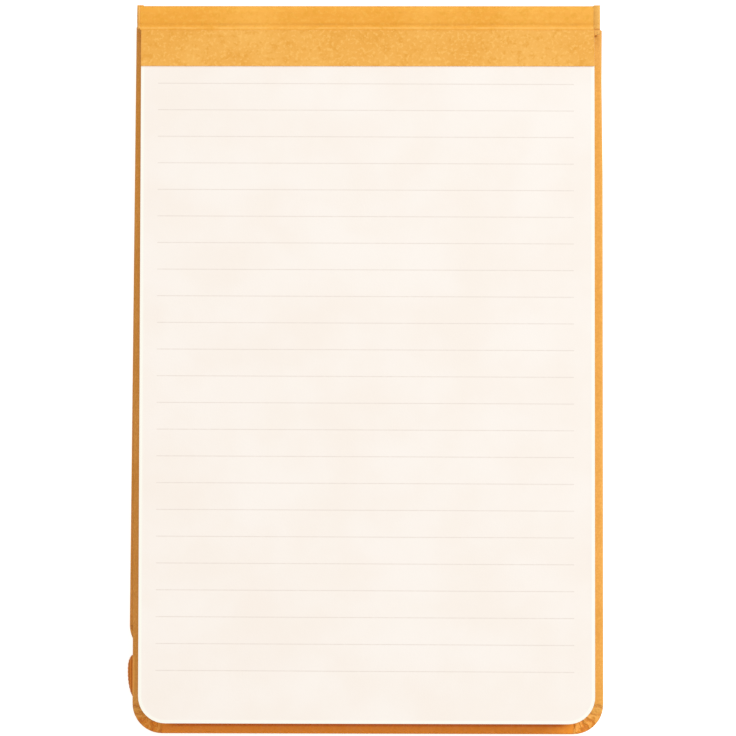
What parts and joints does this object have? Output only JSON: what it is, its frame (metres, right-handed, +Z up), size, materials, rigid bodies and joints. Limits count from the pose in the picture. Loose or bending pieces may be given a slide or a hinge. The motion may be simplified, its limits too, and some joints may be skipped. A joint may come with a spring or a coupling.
{
  "type": "hardcover notepad",
  "caption": "Pocket notepad bound along its head in a leatherette hardcover, front cover folded round to the back, ruled ivory sheets and an elastic closure.",
  "frame": {"origin": "on the surface it lies on, under the middle of the case's width and of its whole length", "axes": "+X across the page to its right, +Y along the page towards the bound head, +Z up out of the page"},
  "size_m": [0.091, 0.1385, 0.0148],
  "materials": {
    "sheets": "smooth matt",
    "endpaper": "matt, finely mottled",
    "lining": "matt",
    "card": "matt",
    "leatherette": "fine grain, low sheen",
    "elastic": "fine rib"
  },
  "bodies": {
    "block": {"text_block": "sheets", "binding_strip": "endpaper", "spine_lining": "lining", "spine_stiffener": "card", "back_board": "card", "back_skin": "leatherette", "back_endpaper": "endpaper", "elastic_strap": "elastic"},
    "hinge": {"hinge_skin": "leatherette", "hinge_liner": "endpaper"},
    "flap": {"flap_stiffener": "card", "flap_skin": "leatherette", "flap_liner": "endpaper"},
    "front_cover": {"front_board": "card", "front_skin": "leatherette", "front_endpaper": "endpaper"}
  },
  "joints": [
    {"name": "spine_crease", "type": "hinge", "parent": "block", "child": "hinge", "pos_m": [0, 0.0659, 0.01445], "axis": [1, 0, 0], "range_deg": [0, 105]},
    {"name": "flap_crease", "type": "hinge", "parent": "hinge", "child": "flap", "pos_m": [0, 0.0677, 0.01445], "axis": [1, 0, 0], "range_deg": [0, 165]},
    {"name": "board_crease", "type": "hinge", "parent": "flap", "child": "front_cover", "pos_m": [0, 0.0677, 0.0019], "axis": [1, 0, 0], "range_deg": [0, 90]}
  ]
}
